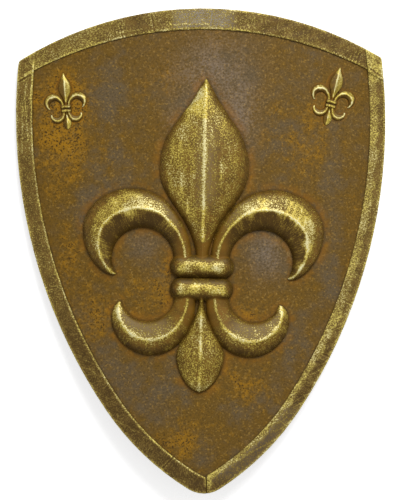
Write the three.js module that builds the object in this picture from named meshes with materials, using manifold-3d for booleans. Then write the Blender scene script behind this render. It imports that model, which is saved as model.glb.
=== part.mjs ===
// Costume heater shield: a dished foam board under a painted rubber skin, edged with three glued
// strips, with a large fleur-de-lis in relief, two small ones in the upper corners, and a forearm
// strap and a hand grip riveted behind.
// The shield lies on its back: +X to the right, +Y towards the top edge, +Z up, in millimetres.
// The origin is at the middle of the outline, on the surface that the shield lies on.

import * as THREE from "three";
import { mergeVertices } from "three/addons/utils/BufferGeometryUtils.js";
import Module from "manifold-3d";

const wasm = await Module();
wasm.setup();

// ---- driving dimensions ----

const WIDTH = 550;
const HEIGHT = 720;
const BOARD_THICKNESS = 15;
const DISH = 40; // the middle of the back stands this far above its side edges
const FACET_COUNT = 21; // flat lengthwise strips that stand for the dished board
const GLUE_GAP = 0.3; // between two pieces that touch

const TOP_RADIUS = 522; // the arched top edge
const SIDE_WIDEST_Y = 196.6;
const UPPER_SIDE_RADIUS = 779;
const LOWER_SIDE_RADIUS = 402;
const SIDE_JOIN_ANGLE = -33.73; // where the lower side arc takes over from the upper one
const LEFT_CORNER_ROUND = 8;
const RIGHT_CORNER_ROUND = 5;

const TOP_STRIP = { width: 31, leftEndWidth: 23, rightEndWidth: 25.5, thickness: 2.6 };
const LEFT_STRIP = { topWidth: 23.5, tipWidth: 28, thickness: 3 };
const RIGHT_STRIP = { topWidth: 21.5, tipWidth: 28, thickness: 3 };
const STRIP_SEAM_X = 3.5; // the two side strips meet beside the tip
const STRIP_SEAM_WIDTH = 1.2;

const MAIN_FLEUR = { x: -0.5, y: -39.7, lean: -1.84, scale: 1, relief: 1, steps: 26 };
const SMALL_FLEUR_LEFT = { x: -199.6, y: 213.3, lean: 4.4, scale: 0.182, relief: 0.24, steps: 10 };
const SMALL_FLEUR_RIGHT = { x: 193.9, y: 216.7, lean: -14.8, scale: 0.191, relief: 0.24, steps: 10 };

const FOREARM_STRAP = { x: 95, width: 46, thickness: 4, halfLength: 122, foot: 44, halfRun: 40 };
const HAND_GRIP = { x: -88, width: 34, thickness: 5, halfLength: 100, foot: 38, halfRun: 28 };
const STRAP_CORNER = 1.2; // cut off each long edge of a strap
const RIVET = { radius: 5.5, height: 2.4 };

const DEGREE = Math.PI / 180;
const FAR = 600; // reaches past the shield on every side

// ---- solids ----

function toSolid(geometry) {
  geometry.deleteAttribute("normal");
  geometry.deleteAttribute("uv");
  const merged = mergeVertices(geometry, 1e-3);
  return new wasm.Manifold(new wasm.Mesh({
    numProp: 3,
    vertProperties: new Float32Array(merged.attributes.position.array),
    triVerts: new Uint32Array(merged.index.array),
  }));
}

function toMesh(name, solid, material) {
  const { vertProperties, triVerts } = solid.getMesh();
  const geometry = new THREE.BufferGeometry();
  geometry.setAttribute("position", new THREE.BufferAttribute(vertProperties, 3));
  geometry.setIndex(new THREE.BufferAttribute(triVerts, 1));
  geometry.computeVertexNormals();
  const mesh = new THREE.Mesh(geometry, material);
  mesh.name = name;
  return mesh;
}

function prism(points, low, high) {
  const shape = new THREE.Shape(points);
  const geometry = new THREE.ExtrudeGeometry(shape, { depth: high - low, bevelEnabled: false });
  return toSolid(geometry.translate(0, 0, low));
}

// A closed skin over rings of points: each ring has the same count, going the same way round.
function loft(rings) {
  const count = rings[0].length;
  const positions = rings.flat().flatMap((point) => point.toArray());
  const index = [];
  for (let ring = 0; ring + 1 < rings.length; ring += 1) {
    for (let side = 0; side < count; side += 1) {
      const a = ring * count + side;
      const b = ring * count + (side + 1) % count;
      index.push(a, b, b + count, a, b + count, a + count);
    }
  }
  const last = (rings.length - 1) * count;
  for (let side = 1; side + 1 < count; side += 1) {
    index.push(0, side + 1, side, last, last + side, last + side + 1);
  }
  const geometry = new THREE.BufferGeometry();
  geometry.setAttribute("position", new THREE.Float32BufferAttribute(positions, 3));
  geometry.setIndex(index);
  return toSolid(geometry);
}

// ---- the dished board ----

const HALF_WIDTH = WIDTH / 2;
const BACK_RADIUS = (HALF_WIDTH ** 2 + DISH ** 2) / (2 * DISH);

function backHeight(x) {
  return DISH - BACK_RADIUS + Math.sqrt(BACK_RADIUS ** 2 - x ** 2);
}

function frontHeight(x) {
  return DISH - BACK_RADIUS + Math.sqrt((BACK_RADIUS + BOARD_THICKNESS) ** 2 - x ** 2);
}

// The space between two dished surfaces, each a height for every x, in flat lengthwise strips.
function dishedSlab(lowHeight, highHeight) {
  const edges = [];
  for (let edge = -1; edge <= FACET_COUNT + 1; edge += 1) {
    edges.push(-HALF_WIDTH + edge * WIDTH / FACET_COUNT);
  }
  const below = edges.map((x) => new THREE.Vector2(x, lowHeight(x)));
  const above = edges.map((x) => new THREE.Vector2(x, highHeight(x)));
  const shape = new THREE.Shape([...below, ...above.reverse()]);
  const geometry = new THREE.ExtrudeGeometry(shape, { depth: 2 * FAR, bevelEnabled: false });
  return toSolid(geometry.rotateX(Math.PI / 2).translate(0, FAR, 0));
}

function frontSlab(low, high) {
  return dishedSlab((x) => frontHeight(x) + low, (x) => frontHeight(x) + high);
}

function arc(centre, radius, fromAngle, toAngle, steps) {
  const points = [];
  for (let step = 0; step <= steps; step += 1) {
    const angle = (fromAngle + (toAngle - fromAngle) * step / steps) * DEGREE;
    const reach = typeof radius === "function" ? radius(step / steps) : radius;
    points.push(new THREE.Vector2(
      centre.x + reach * Math.cos(angle),
      centre.y + reach * Math.sin(angle),
    ));
  }
  return points;
}

const UPPER_CENTRE = new THREE.Vector2(HALF_WIDTH - UPPER_SIDE_RADIUS, SIDE_WIDEST_Y);
const LOWER_CENTRE = new THREE.Vector2(
  UPPER_SIDE_RADIUS - LOWER_SIDE_RADIUS,
  0,
).rotateAround(new THREE.Vector2(), SIDE_JOIN_ANGLE * DEGREE).add(UPPER_CENTRE);
const TOP_CENTRE = new THREE.Vector2(0, HEIGHT / 2 - TOP_RADIUS);

// The tip is an arc that touches both lower side arcs and ends the height.
const TIP_RADIUS = (() => {
  const drop = -HEIGHT / 2 - LOWER_CENTRE.y;
  const reach = LOWER_CENTRE.x;
  return (LOWER_SIDE_RADIUS ** 2 - reach ** 2 - drop ** 2) / (2 * (LOWER_SIDE_RADIUS + drop));
})();
const TIP_CENTRE = new THREE.Vector2(0, -HEIGHT / 2 + TIP_RADIUS);
const TIP_ANGLE = TIP_CENTRE.clone().sub(LOWER_CENTRE).angle() / DEGREE - 360;

// Where the right side's arc crosses the top arc.
const CORNER = (() => {
  const between = TOP_CENTRE.clone().sub(UPPER_CENTRE);
  const gap = between.length();
  const along = (UPPER_SIDE_RADIUS ** 2 - TOP_RADIUS ** 2 + gap ** 2) / (2 * gap);
  const aside = Math.sqrt(UPPER_SIDE_RADIUS ** 2 - along ** 2);
  const direction = between.divideScalar(gap);
  return UPPER_CENTRE.clone().addScaledVector(direction, along)
    .add(new THREE.Vector2(-direction.y, direction.x).multiplyScalar(aside));
})();

// The right side from its corner to the lowest point of the tip.
function rightSide(cornerRound) {
  const turn = cornerRound / 2 / UPPER_SIDE_RADIUS / DEGREE;
  const corner = CORNER.clone().sub(UPPER_CENTRE).angle() / DEGREE;
  return [
    ...arc(UPPER_CENTRE, UPPER_SIDE_RADIUS, corner - turn, 0, 4),
    ...arc(UPPER_CENTRE, UPPER_SIDE_RADIUS, 0, SIDE_JOIN_ANGLE, 16).slice(1),
    ...arc(LOWER_CENTRE, LOWER_SIDE_RADIUS, SIDE_JOIN_ANGLE, TIP_ANGLE, 8).slice(1),
    ...arc(TIP_CENTRE, TIP_RADIUS, TIP_ANGLE, -90, 3).slice(1),
  ];
}

// The top edge from its crest to a corner, and round that corner.
function rightTop(cornerRound) {
  const turn = cornerRound / 2 / TOP_RADIUS / DEGREE;
  const corner = CORNER.clone().sub(TOP_CENTRE).angle() / DEGREE;
  const edge = arc(TOP_CENTRE, TOP_RADIUS, 90, corner + turn, 10);
  const bend = new THREE.QuadraticBezierCurve(edge.at(-1), CORNER, rightSide(cornerRound)[0]);
  return [...edge, ...bend.getPoints(4).slice(1, -1)];
}

function mirrored(points) {
  return points.map((point) => new THREE.Vector2(-point.x, point.y)).reverse();
}

function outlinePrism() {
  const right = [...rightTop(RIGHT_CORNER_ROUND), ...rightSide(RIGHT_CORNER_ROUND)];
  const left = mirrored([...rightTop(LEFT_CORNER_ROUND), ...rightSide(LEFT_CORNER_ROUND)]);
  return prism([...right, ...left.slice(1, -1)], -FAR, FAR);
}

function board() {
  return outlinePrism().intersect(dishedSlab(backHeight, frontHeight));
}

// ---- the edge strips ----

// All that lies outside the inner edge of a right-hand side strip, down to the seam at the tip.
function rightBand({ topWidth, tipWidth }, seamX) {
  const above = 22; // starts past the top edge
  const bottom = -70; // ends past the middle line
  const middleWidth = (topWidth + tipWidth) / 2;
  const upperReach = (t) => UPPER_SIDE_RADIUS - topWidth - (middleWidth - topWidth) * t;
  const lowerReach = (t) => LOWER_SIDE_RADIUS - middleWidth - (tipWidth - middleWidth) * t;
  const inner = [
    ...arc(UPPER_CENTRE, upperReach, above, SIDE_JOIN_ANGLE, 20),
    ...arc(LOWER_CENTRE, lowerReach, SIDE_JOIN_ANGLE, bottom, 12).slice(1),
  ].filter((point) => point.x > seamX);
  return [
    ...inner,
    new THREE.Vector2(seamX, inner.at(-1).y - (inner.at(-1).x - seamX) / 2),
    new THREE.Vector2(seamX, -FAR),
    new THREE.Vector2(FAR, -FAR),
    new THREE.Vector2(FAR, inner[0].y),
  ];
}

// All that lies outside the top strip's inner edge. The strip narrows from its crest to its ends.
function topBand(extraWidth) {
  const spread = 42; // degrees each way from the crest, past both corners
  const cornerSpread = 90 - CORNER.clone().sub(TOP_CENTRE).angle() / DEGREE;
  const reach = (t) => {
    const share = (2 * t - 1) * spread / cornerSpread;
    const endWidth = share < 0 ? TOP_STRIP.leftEndWidth : TOP_STRIP.rightEndWidth;
    return TOP_RADIUS - extraWidth - THREE.MathUtils.lerp(TOP_STRIP.width, endWidth, share ** 2);
  };
  const inner = arc(TOP_CENTRE, reach, 90 + spread, 90 - spread, 24);
  return prism([...inner, new THREE.Vector2(FAR, FAR), new THREE.Vector2(-FAR, FAR)], -FAR, FAR);
}

function topStrip() {
  const layer = frontSlab(GLUE_GAP, GLUE_GAP + TOP_STRIP.thickness);
  return outlinePrism().intersect(topBand(0)).intersect(layer);
}

// A side strip lies on the board, and at its top end over the end of the top strip.
function sideStrip(band, thickness) {
  const region = outlinePrism().intersect(prism(band, -FAR, FAR));
  const topStripRoom = TOP_STRIP.thickness + 2 * GLUE_GAP;
  const onBoard = frontSlab(GLUE_GAP, GLUE_GAP + thickness);
  const overTop = frontSlab(GLUE_GAP, topStripRoom + thickness).intersect(topBand(thickness));
  const topStripCut = topBand(GLUE_GAP).intersect(frontSlab(-1, topStripRoom));
  return region.intersect(onBoard.add(overTop)).subtract(topStripCut);
}

function rightStrip() {
  const band = rightBand(RIGHT_STRIP, STRIP_SEAM_X + STRIP_SEAM_WIDTH / 2);
  return sideStrip(band, RIGHT_STRIP.thickness);
}

function leftStrip() {
  const band = mirrored(rightBand(LEFT_STRIP, STRIP_SEAM_WIDTH / 2 - STRIP_SEAM_X));
  return sideStrip(band, LEFT_STRIP.thickness);
}

// ---- the fleur-de-lis ----

// Heights across a petal or arm, from one foot over the crest to the other, as shares of the way
// from the foot to the crest and of the crest's height: a steep wall, a round shoulder, a slope.
const SLOPE = [[0, 0], [0.16, 0.42], [0.45, 0.74], [1, 1]];
const FOOT_DEPTH = 5; // the solids start below the board's face and are cut off there

function crossSection(place, crestShare, crestHeight) {
  const rising = SLOPE.map(([across, up]) => [across * crestShare, up]);
  const falling = SLOPE.map(([across, up]) => [1 - across * (1 - crestShare), up]).reverse();
  const upper = [...rising, ...falling.slice(1)].map(([share, up]) => {
    const { x, y } = place(share);
    return new THREE.Vector3(x, y, up * crestHeight);
  });
  const drop = new THREE.Vector3(0, 0, -FOOT_DEPTH);
  return [upper[0].clone().add(drop), ...upper, upper.at(-1).clone().add(drop)];
}

function smoothed(pairs) {
  return new THREE.SplineCurve(pairs.map(([a, b]) => new THREE.Vector2(a, b)));
}

// A petal stands on the middle axis. Its outline is pairs of height along the axis and half width.
function petal({ outline, crest }, steps) {
  const edge = smoothed(outline);
  const rise = smoothed(crest);
  const rings = [];
  for (let step = 0; step <= steps; step += 1) {
    const { x: along, y: halfWidth } = edge.getPoint(step / steps);
    const place = (share) => ({ x: (share * 2 - 1) * halfWidth, y: along });
    rings.push(crossSection(place, 0.5, rise.getPoint(step / steps).y));
  }
  return rings;
}

// An arm curls round a hollow. Its outer edge is pairs of angle round the hollow and radius.
function arm({ centre, hollow, side, up, girth, outerEdge, crestShare, crest }, steps) {
  const edge = smoothed(outerEdge);
  const share = smoothed(crestShare);
  const rise = smoothed(crest);
  const rings = [];
  for (let step = 0; step <= steps; step += 1) {
    const t = step / steps;
    const { x: angle, y: outer } = edge.getPoint(t);
    const inner = Math.min(hollow, outer * girth - 1);
    const place = (across) => {
      const reach = inner + (outer * girth - inner) * across;
      return {
        x: side * (centre[0] - reach * Math.cos(angle * DEGREE)),
        y: centre[1] + up * reach * Math.sin(angle * DEGREE),
      };
    };
    rings.push(crossSection(place, share.getPoint(t).y, rise.getPoint(t).y));
  }
  return side * up > 0 ? rings.reverse() : rings;
}

const UPPER_PETAL = {
  outline: [
    [24, 8.5], [45, 11.6], [69, 20.8], [93, 34.9], [117, 52.3], [141, 64.5], [162, 67.3],
    [189, 64.4], [213, 55.2], [237, 39], [261, 21.8], [285, 8], [295.3, 0.6],
  ],
  crest: [[0, 13], [1, 15], [2, 18], [3, 21], [4, 22], [5, 21], [6, 17], [7, 11], [8, 3]],
};
const LOWER_PETAL = {
  outline: [
    [-170.2, 0.8], [-166, 11.5], [-157, 21.5], [-145, 29], [-132, 34], [-119, 36.6], [-107, 35],
    [-96, 29.5], [-82, 21], [-64, 12], [-45, 5], [-24, 3.5],
  ],
  crest: [[0, 4], [1, 12], [2, 16], [3, 18], [4, 17], [5, 15], [6, 13]],
};
const UPPER_ARM = {
  outerEdge: [
    [-6, 74], [15, 75.5], [35, 79], [55, 86], [75, 98], [95, 106.5], [115, 111.5], [132, 112],
    [147, 107], [162, 95], [178, 80.5], [195, 66], [207, 55.5], [211.5, 46.5],
  ],
  crestShare: [[0, 0.62], [1, 0.58], [2, 0.5], [3, 0.5], [4, 0.5], [5, 0.42]],
  crest: [[0, 14], [1, 16], [2, 19], [3, 20], [4, 18], [5, 12], [6, 2.5]],
};
const LOWER_ARM = {
  outerEdge: [
    [-6, 71], [15, 75], [35, 80.5], [52, 87], [68, 91.5], [82, 92.3], [97, 89.5], [112, 84],
    [127, 76.5], [142, 67], [154, 57.5], [162, 46],
  ],
  crestShare: [[0, 0.6], [1, 0.56], [2, 0.53], [3, 0.53], [4, 0.46], [5, 0.34]],
  crest: [[0, 13], [1, 15], [2, 17], [3, 17], [4, 14], [5, 9], [6, 2.5]],
};
const ARMS = [
  { ...UPPER_ARM, side: -1, up: 1, centre: [88.4, 26.5], hollow: 45.2, girth: 0.985 },
  { ...UPPER_ARM, side: 1, up: 1, centre: [87.4, 25.3], hollow: 46.4, girth: 1.015 },
  { ...LOWER_ARM, side: -1, up: -1, centre: [80.4, -25], hollow: 40.4, girth: 1.005 },
  { ...LOWER_ARM, side: 1, up: -1, centre: [78.9, -26.1], hollow: 38.2, girth: 0.995 },
];
const BAND_BARS = [
  { y: 16.6, halfLength: 47.8 },
  { y: -16.8, halfLength: 47 },
];
const BAR_RADIUS = 17.2;
const BAR_HEIGHT = 20;

function bandBar({ y, halfLength }, steps) {
  const straight = 2 * (halfLength - BAR_RADIUS);
  const capSteps = Math.ceil(steps / 5);
  const roundSteps = 2 * capSteps + 4;
  const geometry = new THREE.CapsuleGeometry(BAR_RADIUS, straight, capSteps, roundSteps);
  return geometry.rotateZ(Math.PI / 2).scale(1, 1, BAR_HEIGHT / BAR_RADIUS).translate(0, y, 0);
}

function fleurDeLis({ x, y, lean, scale, relief, steps }) {
  const settle = (px, py, pz) => {
    const turned = new THREE.Vector2(px, py).multiplyScalar(scale)
      .rotateAround(new THREE.Vector2(), lean * DEGREE);
    const atX = turned.x + x;
    return new THREE.Vector3(atX, turned.y + y, frontHeight(atX) + pz * relief);
  };
  const ridged = [
    ...ARMS.map((shape) => arm(shape, steps)),
    petal(UPPER_PETAL, steps),
    petal(LOWER_PETAL, Math.ceil(steps * 0.6)),
  ].map((rings) => loft(rings.map((ring) => ring.map((p) => settle(p.x, p.y, p.z)))));
  const bars = BAND_BARS.map((bar) => {
    const geometry = bandBar(bar, steps);
    const position = geometry.attributes.position;
    for (let i = 0; i < position.count; i += 1) {
      position.setXYZ(i, ...settle(position.getX(i), position.getY(i), position.getZ(i)));
    }
    return toSolid(geometry);
  });
  const boardRoom = dishedSlab(() => -FAR, (atX) => frontHeight(atX) + GLUE_GAP);
  return wasm.Manifold.union([...ridged, ...bars]).subtract(boardRoom);
}

// ---- the straps behind ----

// A strap runs along Y: two feet on the back, and between them a loop that reaches the surface
// below the shield. Its feet lie along the slope of the back there, and its run lies level.
function strap({ x, width, thickness, halfLength, foot, halfRun }) {
  const footHeight = backHeight(x) - thickness / 2;
  const runHeight = thickness / 2;
  const slope = -x / Math.sqrt(BACK_RADIUS ** 2 - x ** 2);
  const footShare = (y) => THREE.MathUtils.smootherstep(Math.abs(y), halfRun, halfLength - foot);
  const path = (y) => runHeight + (footHeight - runHeight) * footShare(y);
  const [half, halfThick] = [width / 2, thickness / 2];
  const section = [
    [-half + STRAP_CORNER, -halfThick], [half - STRAP_CORNER, -halfThick],
    [half, -halfThick + STRAP_CORNER], [half, halfThick - STRAP_CORNER],
    [half - STRAP_CORNER, halfThick], [-half + STRAP_CORNER, halfThick],
    [-half, halfThick - STRAP_CORNER], [-half, -halfThick + STRAP_CORNER],
  ];
  const steps = 40;
  const rings = [];
  for (let step = 0; step <= steps; step += 1) {
    const y = halfLength * (2 * step / steps - 1);
    const along = new THREE.Vector2(2, path(y + 1) - path(y - 1)).normalize();
    rings.push(section.map(([across, out]) => new THREE.Vector3(
      x + across,
      y - out * along.y,
      path(y) + out * along.x + across * slope * footShare(y),
    )));
  }
  return loft(rings.reverse()).subtract(backRoom());
}

function backRoom() {
  return dishedSlab((x) => backHeight(x) - GLUE_GAP, () => FAR);
}

// Domed rivet heads on the outer face of a strap's foot.
function rivet({ x, thickness }, across, y) {
  const profile = [[0, 0], [1, 0], [0.93, 0.45], [0.6, 0.85], [0, 1]].map(
    ([out, up]) => new THREE.Vector2(out * RIVET.radius, up * RIVET.height),
  );
  const geometry = new THREE.LatheGeometry(profile, 12);
  geometry.rotateX(-Math.PI / 2).translate(across, 0, -thickness - GLUE_GAP);
  geometry.rotateY(Math.asin(x / BACK_RADIUS)).translate(x, y, backHeight(x));
  return toSolid(geometry);
}

// ---- materials ----

const paintedSkin = new THREE.MeshStandardMaterial({ color: 0x6e552a, roughness: 0.6 });
const brassyStrip = new THREE.MeshStandardMaterial({ color: 0x8a7236, roughness: 0.5 });
const brassyRelief = new THREE.MeshStandardMaterial({ color: 0x93803f, roughness: 0.45 });
const leather = new THREE.MeshStandardMaterial({ color: 0x3d281a, roughness: 0.7 });
const rivetMetal = new THREE.MeshStandardMaterial({ color: 0x8f7b45, roughness: 0.4, metalness: 1 });

// ---- the shield ----

const group = new THREE.Group();
group.add(toMesh("board", board(), paintedSkin));
group.add(toMesh("top_edge_strip", topStrip(), brassyStrip));
group.add(toMesh("left_edge_strip", leftStrip(), brassyStrip));
group.add(toMesh("right_edge_strip", rightStrip(), brassyStrip));
group.add(toMesh("fleur_de_lis", fleurDeLis(MAIN_FLEUR), brassyRelief));
group.add(toMesh("small_fleur_left", fleurDeLis(SMALL_FLEUR_LEFT), brassyRelief));
group.add(toMesh("small_fleur_right", fleurDeLis(SMALL_FLEUR_RIGHT), brassyRelief));

for (const [name, size] of [["forearm_strap", FOREARM_STRAP], ["hand_grip", HAND_GRIP]]) {
  group.add(toMesh(name, strap(size), leather));
  for (const [end, up] of [["top", 1], ["bottom", -1]]) {
    for (const [hand, right] of [["left", -1], ["right", 1]]) {
      const solid = rivet(size, right * size.width / 4, up * (size.halfLength - size.foot / 2));
      group.add(toMesh(`${name}_rivet_${end}_${hand}`, solid, rivetMetal));
    }
  }
}

export default group;
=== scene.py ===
import math

import bpy
import numpy as np
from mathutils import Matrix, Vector
from mathutils.bvhtree import BVHTree
from mathutils.kdtree import KDTree


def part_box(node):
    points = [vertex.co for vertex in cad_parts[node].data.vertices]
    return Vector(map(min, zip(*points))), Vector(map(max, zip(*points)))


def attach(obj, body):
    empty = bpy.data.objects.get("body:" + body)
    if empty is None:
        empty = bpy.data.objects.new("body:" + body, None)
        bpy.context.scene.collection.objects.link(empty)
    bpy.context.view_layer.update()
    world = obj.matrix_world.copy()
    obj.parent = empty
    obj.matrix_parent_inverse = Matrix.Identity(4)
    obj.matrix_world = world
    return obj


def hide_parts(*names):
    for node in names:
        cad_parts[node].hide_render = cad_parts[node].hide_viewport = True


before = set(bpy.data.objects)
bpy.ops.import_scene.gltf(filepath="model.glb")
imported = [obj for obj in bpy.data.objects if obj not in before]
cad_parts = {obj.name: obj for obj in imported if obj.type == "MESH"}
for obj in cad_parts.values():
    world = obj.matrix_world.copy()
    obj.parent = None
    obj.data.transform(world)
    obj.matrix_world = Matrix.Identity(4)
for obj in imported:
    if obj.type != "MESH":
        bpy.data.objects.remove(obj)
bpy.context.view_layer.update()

# ---- the board ----
# The shield's body is stiff foam, glued up in layers to a shallow curve across its width and brushed
# with liquid rubber. Its face is painted brown and dabbed with rust and grey, and its back is left
# in plain dark rubber.

BOARD_THICKNESS = 0.015
DISH = 0.040  # the middle of the back stands this far above the side edges
FACET_COUNT = 21  # flat lengthwise strips of the board in the frame
HALF_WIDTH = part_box("board")[1].x
BACK_RADIUS = (HALF_WIDTH**2 + DISH**2) / (2 * DISH)
FACE_GRID = 0.005
FACE_SWELL = 0.00012
RELIEF_CENTRE = (-0.0005, -0.0397)
RELIEF_REACH = 0.215
SMALL_RELIEFS = {
    "small_fleur_left": (-0.1996, 0.2133),
    "small_fleur_right": (0.1939, 0.2167),
}
SMALL_RELIEF_REACH = 0.036


def back_height(x):
    return DISH - BACK_RADIUS + np.sqrt(BACK_RADIUS**2 - x**2)


def face_height(x):
    return DISH - BACK_RADIUS + np.sqrt((BACK_RADIUS + BOARD_THICKNESS) ** 2 - x**2)


def facet_gap(x):
    """How far the round face stands above the flat strips of the frame."""
    edges = np.linspace(-HALF_WIDTH, HALF_WIDTH, FACET_COUNT + 1)
    return face_height(x) - np.interp(x, edges, face_height(edges))


def pick(piece):
    bpy.ops.object.select_all(action="DESELECT")
    piece.select_set(True)
    bpy.context.view_layer.objects.active = piece


def cad_copy(node, name):
    """A new object with the shape of a CAD node, its loose triangles joined up."""
    piece = bpy.data.objects.new(name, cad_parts[node].data.copy())
    piece.data.materials.clear()
    bpy.context.scene.collection.objects.link(piece)
    pick(piece)
    bpy.ops.object.mode_set(mode="EDIT")
    bpy.ops.mesh.select_all(action="SELECT")
    bpy.ops.mesh.remove_doubles(threshold=0.00001)
    bpy.ops.object.mode_set(mode="OBJECT")
    return piece


def places(piece):
    spots = np.empty(len(piece.data.vertices) * 3)
    piece.data.vertices.foreach_get("co", spots)
    return spots.reshape(-1, 3)


def move_to(piece, spots):
    piece.data.vertices.foreach_set("co", spots.ravel())
    piece.data.update()


def mark(piece, name, values):
    """Keeps a number, or a vector, for each vertex, for the piece's paint to read."""
    kind, field = ("FLOAT", "value") if values.ndim == 1 else ("FLOAT_VECTOR", "vector")
    attribute = piece.data.attributes.new(name, kind, "POINT")
    attribute.data.foreach_set(field, values.astype(np.float32).ravel())


def foot_line(node, spacing=0.001):
    """Points along the lower outline of a CAD node, seen from above."""
    piece = cad_copy(node, "outline")
    mesh = piece.data
    downward = np.array([p.normal.z < -0.7 for p in mesh.polygons])
    sides = {}
    for polygon in mesh.polygons:
        for key in polygon.edge_keys:
            sides.setdefault(key, []).append(downward[polygon.index])
    spots = places(piece)[:, :2]
    points = []
    for (a, b), faces in sides.items():
        if len(faces) == 2 and faces[0] != faces[1]:
            count = max(1, round(np.linalg.norm(spots[b] - spots[a]) / spacing))
            shares = (np.arange(count) / count)[:, None]
            points.append(spots[a] + (spots[b] - spots[a]) * shares)
    bpy.data.objects.remove(piece)
    return np.concatenate(points)


def distance_to(points, spots):
    """The level distance from each spot to the nearest of some points."""
    tree = KDTree(len(points))
    for index, (x, y) in enumerate(points):
        tree.insert((x, y, 0), index)
    tree.balance()
    return np.array([tree.find((x, y, 0))[2] for x, y in spots[:, :2]])


def covers(node, spots):
    """Which spots lie under a CAD node."""
    tree = BVHTree.FromPolygons(
        [v.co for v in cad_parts[node].data.vertices],
        [p.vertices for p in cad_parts[node].data.polygons],
    )
    down = Vector((0, 0, -1))
    return np.array([tree.ray_cast(Vector((x, y, 1)), down)[0] is not None for x, y in spots[:, :2]])


def waves(spots, size, count, seed):
    """A smooth uneven field, about 1 high, with swells of about that size."""
    draw = np.random.default_rng(seed)
    total = np.zeros(len(spots))
    for _ in range(count):
        heading = draw.uniform(0, 2 * math.pi)
        pitch = 2 * math.pi / (size * draw.uniform(0.6, 1.8))
        reach = spots[:, 0] * math.cos(heading) + spots[:, 1] * math.sin(heading)
        total += np.sin(reach * pitch + draw.uniform(0, 2 * math.pi))
    return total * math.sqrt(2 / count)


board = cad_copy("board", "board_under_rubber")
bpy.ops.object.mode_set(mode="EDIT")
bpy.ops.mesh.select_all(action="SELECT")
bpy.ops.mesh.dissolve_limited(angle_limit=math.radians(0.1))
for axis in range(2):
    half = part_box("board")[1][axis]
    for line in np.arange(-math.floor(half / FACE_GRID), half / FACE_GRID) * FACE_GRID:
        bpy.ops.mesh.select_all(action="SELECT")
        across = Vector((axis == 0, axis == 1, 0))
        bpy.ops.mesh.bisect(plane_co=across * line, plane_no=across)
bpy.ops.object.mode_set(mode="OBJECT")


def edit_faces(piece, chosen):
    """Goes into edit mode with only the chosen faces selected."""
    pick(piece)
    bpy.ops.object.mode_set(mode="EDIT")
    bpy.ops.mesh.select_all(action="DESELECT")
    bpy.ops.object.mode_set(mode="OBJECT")
    piece.data.polygons.foreach_set("select", np.array(chosen))
    bpy.ops.object.mode_set(mode="EDIT")


def refine(piece, centre, reach, cuts):
    """Splits the faces on top of the board that are within reach of a place."""
    middles = np.array([p.center[:2] for p in piece.data.polygons])
    upward = np.array([p.normal.z > 0.5 for p in piece.data.polygons])
    edit_faces(piece, upward & (np.linalg.norm(middles - centre, axis=1) < reach))
    bpy.ops.mesh.subdivide(number_cuts=cuts)
    bpy.ops.object.mode_set(mode="OBJECT")


refine(board, RELIEF_CENTRE, RELIEF_REACH, 1)
for centre in SMALL_RELIEFS.values():
    refine(board, centre, SMALL_RELIEF_REACH, 3)

spots = places(board)
on_face = spots[:, 2] > (face_height(spots[:, 0]) + back_height(spots[:, 0])) / 2
swell = FACE_SWELL * waves(spots, 0.07, 24, 3)
back = np.maximum(back_height(spots[:, 0]) - swell / 4, 0)
spots[:, 2] = np.where(on_face, face_height(spots[:, 0]) + swell, back)
move_to(board, spots)

small_feet = np.concatenate([foot_line(node) for node in SMALL_RELIEFS])
relief_gap = distance_to(foot_line("fleur_de_lis"), spots)
relief_gap = np.minimum(relief_gap, distance_to(small_feet, spots) * 4)
under = covers("fleur_de_lis", spots) | covers("small_fleur_left", spots)
under |= covers("small_fleur_right", spots)
mark(board, "relief_gap", np.where(under, -relief_gap, relief_gap))
STRIPS = ("top_edge_strip", "left_edge_strip", "right_edge_strip")
strip_gap = distance_to(np.concatenate([foot_line(n) for n in STRIPS]), spots)
mark(board, "strip_gap", strip_gap)

# Soft areas of the face: place, half sizes, strength. Rust and grey were dabbed on by hand,
# and the reflection dabs are a painted reflection of the light.
RUST_DABS = [
    ((-0.205, 0.165), (0.045, 0.062), 1.25),
    ((-0.200, 0.235), (0.050, 0.035), 1.0),
    ((-0.060, 0.245), (0.045, 0.030), 0.5),
    ((-0.125, 0.135), (0.035, 0.035), 0.6),
    ((-0.205, -0.020), (0.022, 0.060), 0.6),
    ((-0.160, -0.100), (0.035, 0.045), 1.0),
    ((-0.050, -0.040), (0.025, 0.045), 1.0),
    ((-0.095, -0.055), (0.030, 0.025), 0.6),
    ((0.060, -0.105), (0.030, 0.025), 0.7),
    ((0.155, 0.160), (0.060, 0.060), 0.8),
    ((0.070, 0.180), (0.040, 0.030), 0.3),
    ((-0.120, -0.205), (0.040, 0.025), 0.5),
    ((-0.030, -0.280), (0.035, 0.030), 1.0),
    ((0.075, -0.210), (0.035, 0.030), 0.8),
    ((0.135, -0.130), (0.030, 0.030), 0.5),
]
GREY_DABS = [
    # The first and widest, over the top middle, is partly a painted reflection of the light.
    ((0.060, 0.220), (0.110, 0.090), 0.8),
    ((-0.135, 0.240), (0.028, 0.060), 1.3),
    ((-0.170, 0.065), (0.022, 0.050), 1.2),
    ((-0.110, 0.130), (0.040, 0.110), 0.4),
    ((-0.140, -0.180), (0.030, 0.045), 0.9),
    ((-0.060, -0.205), (0.040, 0.035), 1.1),
    ((0.060, -0.240), (0.035, 0.030), 1.0),
    ((0.190, -0.045), (0.025, 0.060), 1.3),
    ((0.140, -0.145), (0.035, 0.045), 1.0),
    ((0.180, 0.060), (0.040, 0.050), 0.6),
    ((0.098, -0.008), (0.035, 0.040), 1.0),
    ((-0.092, -0.005), (0.030, 0.030), 0.6),
    ((0.000, -0.320), (0.040, 0.030), 0.6),
]
# Painted reflection: where the face is paled to grey by light shining back off the rubber.
REFLECTION_DABS = [
    ((0.020, 0.262), (0.060, 0.060), 1.0),
    ((0.062, 0.185), (0.022, 0.050), 0.8),
    ((0.098, -0.008), (0.032, 0.035), 0.9),
    ((-0.045, 0.185), (0.014, 0.030), 0.5),
    ((-0.085, 0.010), (0.025, 0.020), 0.4),
]


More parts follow.
